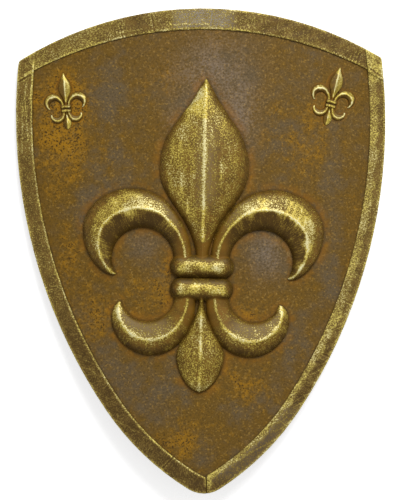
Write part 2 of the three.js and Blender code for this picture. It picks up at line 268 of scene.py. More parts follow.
def dabbed(spots, dabs):
    total = np.zeros(len(spots))
    for (x, y), (half_x, half_y), strength in dabs:
        away = ((spots[:, 0] - x) / half_x) ** 2 + ((spots[:, 1] - y) / half_y) ** 2
        total += strength * np.exp(-away)
    return total


mark(board, "rust", dabbed(spots, RUST_DABS))
mark(board, "grey", dabbed(spots, GREY_DABS))
mark(board, "painted_reflection", np.clip(dabbed(spots, REFLECTION_DABS), 0, 1))


def chip(red, green, blue):
    """A paint chip's colour as light: each channel from 0 to 255."""
    channels = [c / 255 for c in (red, green, blue)]
    return (*[c / 12.92 if c <= 0.04045 else ((c + 0.055) / 1.055) ** 2.4 for c in channels], 1)


class Value:
    """What a node of a finish gives out. Python's own sums on it add Math nodes."""

    def __init__(self, finish, socket):
        self.finish, self.socket = finish, socket

    def maths(self, operation, first, second):
        return self.finish.node("ShaderNodeMath", {"operation": operation}, {0: first, 1: second})

    def __add__(self, other):
        return self.maths("ADD", self, other)

    def __sub__(self, other):
        return self.maths("SUBTRACT", self, other)

    def __rsub__(self, other):
        return self.maths("SUBTRACT", other, self)

    def __mul__(self, other):
        return self.maths("MULTIPLY", self, other)

    __radd__ = __add__
    __rmul__ = __mul__


class Finish:
    """A material that is put together node by node, and ends at its shader."""

    def __init__(self, name, constants):
        self.material = bpy.data.materials.new(name)
        self.material.use_nodes = True
        self.tree = self.material.node_tree
        self.shader = self.tree.nodes["Principled BSDF"]
        for socket, value in constants.items():
            self.shader.inputs[socket].default_value = value

    def node(self, kind, settings, sockets, output=0):
        made = self.tree.nodes.new(kind)
        for name, value in settings.items():
            setattr(made, name, value)
        for name, value in sockets.items():
            self.feed(made.inputs[name], value)
        return Value(self, made.outputs[output])

    def feed(self, socket, value):
        if isinstance(value, Value):
            self.tree.links.new(value.socket, socket)
        else:
            socket.default_value = value

    def ends(self, **sockets):
        for name, value in sockets.items():
            self.feed(self.shader.inputs[name.replace("_", " ")], value)

    def places(self):
        return self.node("ShaderNodeTexCoord", {}, {}, "Object")

    def marked(self, name, output="Fac"):
        return self.node("ShaderNodeAttribute", {"attribute_name": name}, {}, output)

    def grain(self, where, size, detail=2, roughness=0.5):
        sockets = {"Vector": where, "Scale": 1 / size, "Detail": detail, "Roughness": roughness}
        return self.node("ShaderNodeTexNoise", {}, sockets, "Fac")

    def between(self, value, low, high):
        settings = {"interpolation_type": "SMOOTHSTEP"}
        return self.node("ShaderNodeMapRange", settings, {0: value, 1: low, 2: high})

    def mix(self, share, low, high):
        return self.node("ShaderNodeMix", {"data_type": "RGBA"}, {0: share, 6: low, 7: high}, 2)

    def bump(self, height, distance, strength=1, onto=None):
        sockets = {"Height": height, "Distance": distance, "Strength": strength}
        if onto:
            sockets["Normal"] = onto
        return self.node("ShaderNodeBump", {}, sockets)


def rubber_face():
    finish = Finish("painted_rubber_face", {"Specular IOR Level": 0.18})
    where = finish.places()
    fine = finish.grain(where, 0.0026, 1, 0.5)
    dust = finish.grain(where, 0.0034, 2, 0.6)
    speck = finish.grain(where, 0.0065, 3, 0.65)
    blotch = finish.grain(where, 0.022, 5, 0.65)
    cloud = finish.grain(where, 0.07, 5, 0.55)
    patchy = cloud * 0.5 + blotch * 0.5
    # Grey clouds of paint; over the top middle the grey mark also carries a painted reflection.
    grey = finish.marked("grey") * 0.15 + (1 - patchy)
    colour = finish.mix(finish.between(grey, 0.48, 0.72), chip(101, 74, 16), chip(94, 78, 52))
    rust = finish.marked("rust") * 0.15 - finish.marked("grey") * 0.07 + patchy * 0.65 + speck * 0.4
    amber = finish.between(rust, 0.55, 0.78)
    colour = finish.mix(amber * 0.95, colour, chip(150, 106, 8))
    sparks = finish.between(speck * 0.7 + dust * 0.3, 0.57, 0.64)
    colour = finish.mix(sparks * 0.35, colour, chip(148, 112, 30))
    # Painted reflection of the light, pale grey over the reflection dabs.
    painted_reflection = finish.marked("painted_reflection") * finish.between(blotch * 0.5 + dust * 0.5, 0.4, 0.62)
    colour = finish.mix(painted_reflection * 0.55, colour, chip(134, 122, 112))
    colour = finish.mix(finish.between(fine, 0.54, 0.3) * 0.45, colour, chip(58, 43, 10))
    colour = finish.mix(finish.between(dust, 0.54, 0.74) * 0.6, colour, chip(150, 118, 56))
    flecks = finish.between(speck * 0.4 + fine * 0.6, 0.48, 0.40) * finish.between(amber, 0.1, 0.5)
    colour = finish.mix(flecks * 0.8, colour, chip(46, 30, 4))
    gap = finish.marked("relief_gap")
    halo = finish.between(gap, 0.015, 0.001) * finish.between(blotch, 0.4, 0.6)
    colour = finish.mix(halo * 0.48, colour, chip(138, 90, 10))
    # A painted shade line round the foot of each relief, where it meets the face.
    colour = finish.mix(finish.between(gap, 0.0034, 0.0002) * 0.4, colour, chip(58, 40, 8))
    # A painted shade line along the inner foot of the edge strips.
    foot = finish.between(finish.marked("strip_gap"), 0.0026, 0.0006)
    colour = finish.mix(foot * 0.6, colour, chip(60, 42, 12))
    bump = finish.bump(fine, 0.00025, 0.5)
    bump = finish.bump(blotch, 0.0008, 0.3, bump)
    finish.ends(Base_Color=colour, Roughness=0.48 + speck * 0.25, Normal=bump)
    return finish.material


def rubber_back():
    finish = Finish("plain_rubber_back", {"Specular IOR Level": 0.35})
    where = finish.places()
    fine = finish.grain(where, 0.003, 3, 0.6)
    blotch = finish.grain(where, 0.03, 4, 0.6)
    colour = finish.mix(finish.between(blotch, 0.35, 0.65), chip(50, 38, 24), chip(66, 50, 30))
    colour = finish.mix(finish.between(fine, 0.55, 0.75) * 0.4, colour, chip(92, 72, 40))
    bump = finish.bump(blotch + fine * 0.2, 0.0012, 0.5)
    finish.ends(Base_Color=colour, Roughness=0.55 + fine * 0.2, Normal=bump)
    return finish.material


board.data.materials.append(rubber_face())
board.data.materials.append(rubber_back())
for polygon in board.data.polygons:
    polygon.material_index = 0 if polygon.normal.z > 0.5 else 1
pick(board)
bpy.ops.object.shade_smooth_by_angle(angle=math.radians(30))
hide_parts("board")
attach(board, "root")

# ---- the edge strips ----
# Three strips of thin foam, cut by hand and glued along the edges of the face, then rubbered and
# brushed with brass paint, which catches on their corners. The side strips lie over the ends of the
# top one and meet beside the tip.

STRIP_VOXEL = 0.0011
STRIP_SWELL = 0.00018  # how far the cut foam rises and falls
STRIP_LEAST_WIDTH = 0.012
CUT_WIDTH = 0.0009
BOARD_EDGE = foot_line("board")

# Folds, seams and steps that were pressed into the strips: a line of points, how wide, how high.
STRIP_CREASES = [
    ([(-0.259, 0.252), (-0.262, 0.228), (-0.260, 0.209), (-0.257, 0.167)], 0.0011, 0.0006),
    ([(-0.253, 0.291), (-0.248, 0.273), (-0.249, 0.265), (-0.254, 0.227)], 0.0009, 0.0005),
    ([(-0.252, 0.266), (-0.260, 0.260), (-0.268, 0.255)], 0.0012, -0.0005),
    ([(-0.265, 0.222), (-0.266, 0.150)], 0.0012, 0.0003),
    ([(-0.231, -0.054), (-0.217, -0.052)], 0.0010, -0.0006),
    ([(0.210, -0.074), (0.224, -0.082)], 0.0010, -0.0006),
    ([(0.178, -0.154), (0.190, -0.160)], 0.0010, -0.0006),
    ([(-0.045, -0.305), (-0.061, -0.321)], 0.0010, -0.0006),
    ([(0.254, 0.268), (0.270, 0.257)], 0.0012, -0.0005),
    ([(-0.125, 0.325), (-0.086, 0.329)], 0.0012, 0.0005),
    ([(-0.044, 0.336), (0.015, 0.336)], 0.0014, 0.0005),
    ([(-0.113, 0.312), (-0.118, 0.336)], 0.0012, -0.0005),
    ([(-0.066, 0.322), (-0.071, 0.350)], 0.0012, -0.0006),
    ([(-0.018, 0.331), (-0.017, 0.352)], 0.0010, -0.0004),
    ([(0.016, 0.334), (0.019, 0.356)], 0.0010, -0.0004),
    ([(0.048, 0.328), (0.051, 0.350)], 0.0010, -0.0004),
    ([(0.228, 0.262), (0.238, 0.290)], 0.0012, -0.0005),
    ([(0.219, 0.267), (0.229, 0.295)], 0.0010, -0.0004),
]


def strokes(spots, line):
    """The level distance from each spot to a line of points."""
    nearest = np.full(len(spots), np.inf)
    for start, end in zip(line, line[1:]):
        start, run = np.array(start), np.array(end) - np.array(start)
        away = spots[:, :2] - start
        share = np.clip(away @ run / (run @ run), 0, 1)
        nearest = np.minimum(nearest, np.linalg.norm(away - share[:, None] * run, axis=1))
    return nearest


def remesh(piece, voxel, smoothing):
    """Gives a solid an even skin of small faces, and takes the steps out of it."""
    pick(piece)
    skin = piece.modifiers.new("skin", "REMESH")
    skin.mode, skin.voxel_size = "VOXEL", voxel
    bpy.ops.object.modifier_apply(modifier=skin.name)
    even = piece.modifiers.new("even", "SMOOTH")
    even.factor, even.iterations = 0.5, smoothing
    bpy.ops.object.modifier_apply(modifier=even.name)


def step(values, low, high):
    """Rises smoothly from 0 to 1 between two values, or falls where the first is the higher."""
    share = np.clip((values - low) / (high - low), 0, 1)
    return share * share * (3 - 2 * share)


def near(values, middle, spread):
    """A soft peak, 1 high, where the values come near to one of them."""
    return np.exp(-(((values - middle) / spread) ** 2))


def strip(node, name, seed):
    """A creased strip, with each vertex's distances from the shield's edge and from the strip's
    inner foot, and its height above the board."""
    piece = cad_copy(node, name)
    remesh(piece, STRIP_VOXEL, 2)
    spots = places(piece)
    outer = distance_to(BOARD_EDGE, spots)
    foot = foot_line(node)
    inner_foot = foot[distance_to(BOARD_EDGE, foot) > STRIP_LEAST_WIDTH]
    inner = distance_to(inner_foot, spots)
    height = spots[:, 2] - face_height(spots[:, 0]) + facet_gap(spots[:, 0])
    upper = step(height, 0.0008, 0.002)
    lift = STRIP_SWELL * waves(spots, 0.018, 20, seed)
    for line, width, rise in STRIP_CREASES:
        lift += rise * near(strokes(spots, line), 0, width)
    spots[:, 2] += facet_gap(spots[:, 0]) + upper * lift
    spots[height < 0.0006, 2] -= 0.0004
    move_to(piece, spots)
    along = np.arctan2(spots[:, 0], spots[:, 1] + 0.15) * 0.3
    mark(piece, "brush", np.stack([along, outer * 0.35, spots[:, 2]], axis=1))
    return piece, spots, outer, inner, height


def brassed(name, grain_size, streak_size, contrast, tones):
    """Brown rubber with brass paint dragged over it, from bare to thick as the brass mark rises."""
    bare, worn, painted_sheen_colour, thin, thick, pale, white = (chip(*tone) for tone in tones)
    finish = Finish(name, {"Specular IOR Level": 0.2})
    where = finish.places()
    fine = finish.grain(where, grain_size, 2, 0.6)
    streak = finish.grain(finish.marked("brush", "Vector"), streak_size, 2, 0.6)
    blotch = finish.grain(where, 0.014, 4, 0.6)
    tint = finish.grain(where, 0.032, 3, 0.5)
    shade, painted_sheen = finish.marked("shade"), finish.marked("painted_sheen")
    grit = fine + (streak - fine) * (0.1 + shade * 0.5)
    rough = (grit - 0.5) * contrast * (1 - shade * 0.3)
    paint = finish.marked("brass") + rough + (blotch - 0.5) * 0.25
    ground = finish.mix(finish.between(blotch, 0.4, 0.62), bare, worn)
    # Painted sheen: the ground is paled where light would shine back off the rubber.
    ground = finish.mix(painted_sheen * 0.8, ground, painted_sheen_colour)
    # Painted shade: the ground is darkened where the shade mark is high.
    ground = finish.mix(shade, ground, chip(62, 43, 3))
    ground = finish.mix(finish.marked("rust"), ground, chip(120, 84, 20))
    # Pale brass goes whiter at random, and more so under the painted sheen.
    whiter = finish.between(tint + painted_sheen * 0.25, 0.46, 0.62)
    colour = finish.mix(finish.between(paint, 0.06, 0.42), ground, thin)
    colour = finish.mix(finish.between(paint, 0.38, 0.70), colour, thick)
    colour = finish.mix(finish.between(paint, 0.68, 1.05), colour, finish.mix(whiter, pale, white))
    colour = finish.mix(finish.between(paint, 1.15, 1.6), colour, chip(228, 220, 172))
    metal = finish.between(paint, 0.35, 0.75)
    finish.ends(
        Base_Color=colour,
        Metallic=metal * 0.2,
        Roughness=0.58 - metal * 0.16,
        Normal=finish.bump(grit, 0.0004, 0.45),
    )
    return finish.material


# Paint chips from bare rubber and worn rubber, a pale grey for painted sheen, and then thin, thick,
# pale and whitish brass.
STRIP_TONES = [
    (82, 61, 20), (106, 80, 31), (148, 140, 124),
    (112, 90, 37), (154, 136, 66), (209, 190, 94), (214, 202, 144),
]  # fmt: skip
STRIP_PAINT = brassed("brass_brushed_strip", 0.0018, 0.002, 3.2, STRIP_TONES)


def creased(spots, strength):
    """Brass caught on the strips' folds and on the rims of their grooves, which stay dark inside."""
    caught = np.zeros(len(spots))
    for line, width, rise in STRIP_CREASES:
        away = strokes(spots, line)
        caught += np.sign(rise) * near(away, 0, width)
        if rise < 0:
            caught += 0.7 * near(away, 2 * width, width)
    return strength * caught


def cross_cuts(spots, low, high, count, seed):
    """Fine cuts across a side strip, between two heights on the shield."""
    draw = np.random.default_rng(seed)
    toward = spots[:, 1] - 0.55 * abs(spots[:, 0])
    toward = toward + 0.0012 * waves(spots, 0.02, 8, seed)
    cuts = np.zeros(len(spots))
    for middle in draw.uniform(low, high, count):
        cuts = np.maximum(cuts, draw.uniform(0.4, 1) * near(toward, middle, CUT_WIDTH))
    return cuts


def finish_strip(piece, node, brass, height, dark=0):
    """Shade is painted low on a strip's walls, and the strip darkened as much as dark says."""
    mark(piece, "brass", brass)
    mark(piece, "shade", np.maximum(0.6 * step(height, 0.0014, 0.0002), dark))
    piece.data.materials.append(STRIP_PAINT)
    pick(piece)
    bpy.ops.object.shade_smooth_by_angle(angle=math.radians(50))
    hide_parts(node)
    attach(piece, "root")


top, spots, outer, inner, height = strip("top_edge_strip", "top_strip", 9)
x = spots[:, 0]
edge_line = near(inner, 0.0016, 0.0018)
outer_line = near(outer, 0, 0.0026)
brass = 0.32 + 0.40 * edge_line + 0.04 * waves(spots, 0.03, 12, 5) - 0.16 * step(x, 0.06, 0.10)
brass += outer_line * (0.25 + 0.25 * step(x, 0.035, 0.045))
brass += 0.08 * step(-x, 0.12, 0.13) - 0.18 * step(x, -0.118, -0.108) * step(-x, 0.074, 0.084)
brass += creased(spots, 0.35)
# Painted sheen across the middle of the top strip.
painted_sheen = step(x, -0.045, -0.03) * step(x, 0.06, 0.035)
mark(top, "painted_sheen", painted_sheen * (1 - edge_line))
finish_strip(top, "top_edge_strip", brass, height)

left, spots, outer, inner, height = strip("left_edge_strip", "left_side_strip", 15)
edge_line = near(inner, 0.0014, 0.0016)
outer_line = near(outer, 0, 0.0024)
brass = 0.28 + 0.50 * edge_line + 0.6 * outer_line + 0.04 * waves(spots, 0.035, 12, 6)
brass -= 0.05 * step(spots[:, 1], 0.17, 0.12)
brass += creased(spots, 0.4) + 0.3 * cross_cuts(spots, -0.40, -0.22, 10, 3)
dark = 0.7 * step(-spots[:, 1], 0.05, 0.15) * (1 - edge_line)
finish_strip(left, "left_edge_strip", brass - 0.12 * dark, height, dark)


def near_span(values, low, high):
    """1 from low to high, fading out over 20 mm past each."""
    return step(values, low - 0.02, low) * step(values, high + 0.02, high)


right, spots, outer, inner, height = strip("right_edge_strip", "right_side_strip", 16)
y = spots[:, 1]
band = 0.006 + 0.005 * step(y, -0.20, -0.16) + 0.0015 * waves(spots, 0.02, 12, 8)
brass = 0.24 + 0.34 * (1 - step(inner, band - 0.0015, band + 0.0035))
brass += 0.55 * near(outer, 0, 0.0032) + 0.16 * step(y, 0.26, 0.275)
brass += 0.05 * waves(spots, 0.03, 12, 9)
brass += creased(spots, 0.4) + 0.35 * cross_cuts(spots, -0.42, -0.20, 26, 4)
dark = 0.65 * step(-y, 0.08, 0.18) * step(inner, 0.006, 0.012) * step(outer, 0.001, 0.004)
# Painted sheen on the lower part of the right strip, away from its inner edge.
mark(right, "painted_sheen", 0.5 * near_span(y, -0.33, -0.24) * step(inner, 0.004, 0.008))
finish_strip(right, "right_edge_strip", brass - 0.08 * dark, height, dark)

# ---- the large fleur-de-lis ----
# One relief of carved foam, glued to the face and rubbered over with it: two petals and four arms,
# each with a crest, held by a band of two bars. Brass paint was dragged over its crests and outer
# slopes. Shade is painted on the insides of its arms and round its foot, and a sheen of reflected
# light on some of its slopes.

RELIEF_VOXEL = 0.0012
RELIEF_LEAN = math.radians(-1.84)
ARM_DABS = [  # arm, degree round its hollow, spread, brass more or less
    (0, 103, 14, 0.12), (0, 76, 10, -0.12), (0, 138, 20, -0.10), (0, 205, 10, 0.2),
    (1, 76, 12, 0.06), (1, 102, 12, -0.18), (1, 141, 14, 0.12), (1, 205, 10, 0.15),
    (2, 90, 60, 0.05), (2, 150, 9, 0.4), (3, 90, 60, 0.05), (3, 152, 7, 0.3),
]  # fmt: skip
SCUFFS_AND_GLINT = [  # strokes where more paint caught: a line, and how wide
    ([(0.0040, 0.2530), (0.0052, 0.2550)], 0.0012),
    # A painted highlight on the tip of the lower right arm.
    ([(0.1160, -0.0860), (0.1180, -0.0800)], 0.0012),
    ([(-0.0177, -0.0282), (-0.0058, -0.0386)], 0.0010),
    ([(-0.1230, -0.1440), (-0.1090, -0.1300)], 0.0010),
    ([(0.0080, 0.0150), (0.0250, 0.0420)], 0.0008),
    ([(0.1235, 0.0470), (0.1335, 0.0700)], 0.0016),
    ([(0.1310, 0.0430), (0.1420, 0.0690)], 0.0013),
    ([(0.1400, 0.0360), (0.1500, 0.0620)], 0.0014),
    ([(0.1460, 0.0220), (0.1560, 0.0480)], 0.0016),
    ([(-0.0300, 0.0880), (-0.0290, 0.1150)], 0.0016),
    ([(-0.0210, 0.0560), (-0.0200, 0.0800)], 0.0014),
    ([(0.0290, 0.0950), (0.0300, 0.1300)], 0.0020),
]
RELIEF_TONES = [  # as for the strips, a little warmer
    (86, 62, 14), (112, 80, 22), (126, 107, 70),
    (111, 87, 26), (156, 136, 56), (208, 186, 84), (214, 202, 142),
]  # fmt: skip
CREST_SLOPE = 0.473  # how much of a limb's height its slope still climbs beside the crest
JOIN_FILLET = 1.4

# Sizes in millimetres, from the middle of the band. An outline is a distance along the limb, or a
# degree round its hollow, and a half width or a radius. Crests are heights at even steps.
UPPER_PETAL = {
    "outline": [
        (24, 8.5), (45, 11.6), (69, 20.8), (93, 34.9), (117, 52.3), (141, 64.5), (162, 67.3),
        (189, 64.4), (213, 55.2), (237, 39), (261, 21.8), (285, 8), (295.3, 0.6),
    ],
    "crest": [13, 15, 18, 21, 22, 21, 17, 11, 3],
}  # fmt: skip
LOWER_PETAL = {
    "outline": [
        (-170.2, 0.8), (-166, 11.5), (-157, 21.5), (-145, 29), (-132, 34), (-119, 36.6),
        (-107, 35), (-96, 29.5), (-82, 21), (-64, 12), (-45, 5), (-24, 3.5),
    ],
    "crest": [4, 12, 16, 18, 17, 15, 13],
}  # fmt: skip
UPPER_ARM = {
    "outline": [
        (-6, 74), (15, 75.5), (35, 79), (55, 86), (75, 98), (95, 106.5), (115, 111.5), (132, 112),
        (147, 107), (162, 95), (178, 80.5), (195, 66), (207, 55.5), (211.5, 46.5),
    ],
    "crest_share": [0.62, 0.58, 0.5, 0.5, 0.5, 0.42],
    "crest": [14, 16, 19, 20, 18, 12, 2.5],
}  # fmt: skip
LOWER_ARM = {
    "outline": [
        (-6, 71), (15, 75), (35, 80.5), (52, 87), (68, 91.5), (82, 92.3), (97, 89.5), (112, 84),
        (127, 76.5), (142, 67), (154, 57.5), (162, 46),
    ],
    "crest_share": [0.6, 0.56, 0.53, 0.53, 0.46, 0.34],
    "crest": [13, 15, 17, 17, 14, 9, 2.5],
}  # fmt: skip
ARMS = [  # shape, side, up or down, middle of the hollow, its radius, girth
    (UPPER_ARM, -1, 1, (88.4, 26.5), 45.2, 0.985),
    (UPPER_ARM, 1, 1, (87.4, 25.3), 46.4, 1.015),
    (LOWER_ARM, -1, -1, (80.4, -25), 40.4, 1.005),
    (LOWER_ARM, 1, -1, (78.9, -26.1), 38.2, 0.995),
]
BARS = [(16.6, 47.8), (-16.8, 47)]  # height of the middle, half length
BAR_RADIUS = 17.2
BAR_HEIGHT = 20


def smooth_curve(points, count=300):
    """Places along a smooth curve through some points."""
    points = np.array([np.append(i, p)[-2:] for i, p in enumerate(points)], float)
    padded = np.vstack([points[0], points, points[-1]])
    along = np.linspace(0, len(points) - 1, count)
    index = np.minimum(along.astype(int), len(points) - 2)
    t = (along - index)[:, None]
    a, b, c, d = (padded[index + k] for k in range(4))
    bend = (2 * a - 5 * b + 4 * c - d) * t**2 + (3 * b - a - 3 * c + d) * t**3
    return (2 * b + (c - a) * t + bend) / 2


def across_limb(share):
    """Height from foot to crest: a steep wall, a round shoulder and a straight slope."""
    left = 1 - np.clip(share, 0, 1)
    return 1 - left * (CREST_SLOPE + (1 - CREST_SLOPE) * left**5)


def petal_at(x, y, shape):
    """Height, place across from the crest, distance from the foot and place along a petal."""
    along, half = smooth_curve(shape["outline"]).T
    rise = smooth_curve(shape["crest"])[:, 1]
    half_here = np.interp(y, along, half, 0, 0)
    share = 1 - abs(x) / np.maximum(half_here, 0.01)
    height = np.interp(y, along, rise) * across_limb(share)
    return np.where(share > 0, height, -1), x, half_here - abs(x), y


def arm_at(x, y, arm):
    """The same for an arm, whose place along is a degree round its hollow."""
    shape, side, up, (centre_x, centre_y), hollow, girth = arm
    degree, radius = smooth_curve(shape["outline"]).T
    toward, upward = centre_x - side * x, up * (y - centre_y)
    angle = np.degrees(np.arctan2(upward, toward))
    angle = np.where(angle < -60, angle + 360, angle)
    outer = np.interp(angle, degree, radius) * girth
    inner = np.minimum(hollow, outer - 1)
    across = (np.hypot(toward, upward) - inner) / (outer - inner)
    crest = np.interp(angle, degree, smooth_curve(shape["crest_share"])[:, 1])
    share = np.where(across < crest, across / crest, (1 - across) / (1 - crest))
    share = np.where((angle > degree[0]) & (angle < degree[-1]), share, -1)
    height = np.interp(angle, degree, smooth_curve(shape["crest"])[:, 1]) * across_limb(share)
    foot = np.minimum(across, 1 - across) * (outer - inner)
    return np.where(share > 0, height, -1), (across - crest) * (outer - inner), foot, angle


def bar_at(x, y, bar):
    middle, half_length = bar
    past_end = np.maximum(abs(x) - (half_length - BAR_RADIUS), 0)
    share = 1 - np.hypot(past_end, y - middle) / BAR_RADIUS
    height = BAR_HEIGHT * np.sqrt(np.clip(1 - (1 - share) ** 2, 0, 1))
    return np.where(share > 0, height, -1), y - middle, share * BAR_RADIUS, x


# Each of these takes places on a limb, and gives the brass that caught there, the painted shade
# and the painted sheen of reflected light. Distances are in millimetres, and an arm's angles are
# degrees round its hollow.


def paint_upper_petal(x, foot, y, uneven, wide):
    wall = step(foot, 13, 2)
    half = np.maximum(foot + abs(x), 1)
    crest = near(x, 0, (1.8 + 0.9 * step(y, 110, 160)) * wide) * (0.9 + 0.2 * uneven)
    lobes = near(abs(x) / half, 0.6, 0.16) * step(y, 250, 200)
    beside = near(abs(x), 9, 5) * step(y, 205, 180)
    tip = step(y, 232, 254) * step(x, 2, 0) * step(y, 288, 278) * step(foot, 0.5, 3)
    brass = 0.42 + 0.12 * lobes + 0.72 * crest - 0.10 * beside + 0.08 * step(y, 190, 230)
    brass += 0.45 * tip * (1 - crest) + 0.07 * uneven * (1 - tip) - 0.40 * wall * (1 - tip)
    brass -= 0.18 * step(x, 3, 12) * step(y, 240, 200)
    bare = step(y, 56, 48)
    # Painted sheen down the middle of the petal.
    painted_sheen = near(x, 3, 14) * step(y, 90, 130) * step(y, 240, 210)
    return brass - 0.9 * bare, 0.45 * wall * (1 - tip) + 0.3 * bare, painted_sheen


def paint_lower_petal(x, foot, y, uneven, wide):
    wall = step(foot, 5, 1.5)
    crest = near(x, 0, 1.8 * wide) * (0.8 + 0.3 * uneven)
    brass = 0.44 + 0.60 * crest + 0.06 * uneven - 0.35 * wall + 0.1 * step(y, -150, -165)
    dull = step(x, 6, 12) * step(-y, 128, 136) * step(y, -150, -144)
    return brass - 0.15 * dull + 0.2 * step(y, -80, -50), 0.5 * wall, 0 * x


def paint_upper_arm(across, foot, angle, uneven, wide):
    outside = step(across, -1, 1)
    crest = near(across, 0.4, 1.9 * wide)
    dark_edge = 6 + 7 * step(angle, 100, 150) * step(angle, 215, 190)
    broad = step(foot, dark_edge - 4, dark_edge + 7) * step(angle, 46, 72)
    hairs = np.exp(np.minimum(across, 0) / 7) * step(angle, 30, 60) * (1 + 0.45 * uneven)
    brass = outside * (0.06 + 0.60 * broad) + (1 - outside) * (0.02 + 0.44 * hairs)
    brass += 1.05 * crest * (1 - 0.3 * outside * broad) + 0.08 * uneven
    shade = (1 - outside) * step(-across, 0.5, 5) * 0.8 + 0.4 * outside * step(foot, 5, 1.5)
    # Painted sheen high on the arm's outer slope.
    painted_sheen = outside * near(angle, 66, 20) * step(foot, 3, 8) * (1 - crest)
    return brass, shade, painted_sheen


def paint_lower_arm(across, foot, angle, uneven, wide):
    outside = step(across, -1, 1)
    crest = near(across, 0.4, 2.0 * wide)
    below = np.exp(-np.maximum(across, 0) / 7) * step(angle, 30, 50)
    above = np.exp(np.minimum(across, 0) / 6) * step(angle, 40, 60)
    brass = outside * (0.04 + 0.70 * below) + (1 - outside) * (0.08 + 0.46 * above)
    brass += 0.85 * crest * (1 - 0.25 * below) + 0.08 * uneven
    shade = outside * step(foot, 17, 5) * 0.7 + (1 - outside) * step(foot, 4, 1) * 0.4
    # Painted sheen on the lower arm's upper slope.
    painted_sheen = (1 - outside) * step(foot, 2, 7) * (1 - crest) * step(angle, 40, 70)
    return brass, shade, painted_sheen


def paint_bar(across, foot, along, uneven, wide):
    ends = step(abs(along), 45, 30)
    brass = 0.80 * step(foot, 4, 14) * ends + 0.18 * uneven
    shade = 0.75 * step(foot, 9, 4)
    # Painted sheen on the upper side of the bar.
    painted_sheen = step(across, 6, 10) * step(foot, 2, 4) * ends
    return brass, shade, painted_sheen


def facing(piece):
    normals = np.empty(len(piece.data.vertices) * 3)
    piece.data.vertex_normals.foreach_get("vector", normals)
    return normals.reshape(-1, 3)


def blurred(piece, values, times):
    """Each vertex's value, evened out with its neighbours' so many times."""
    edges = np.empty(len(piece.data.edges) * 2, np.int64)
    piece.data.edges.foreach_get("vertices", edges)
    a, b = edges.reshape(-1, 2).T
    count = np.bincount(a, minlength=len(values)) + np.bincount(b, minlength=len(values)) + 1
    for _ in range(times):
        total = np.bincount(a, values[b], len(values)) + np.bincount(b, values[a], len(values))
        values = (values + total) / count
    return values


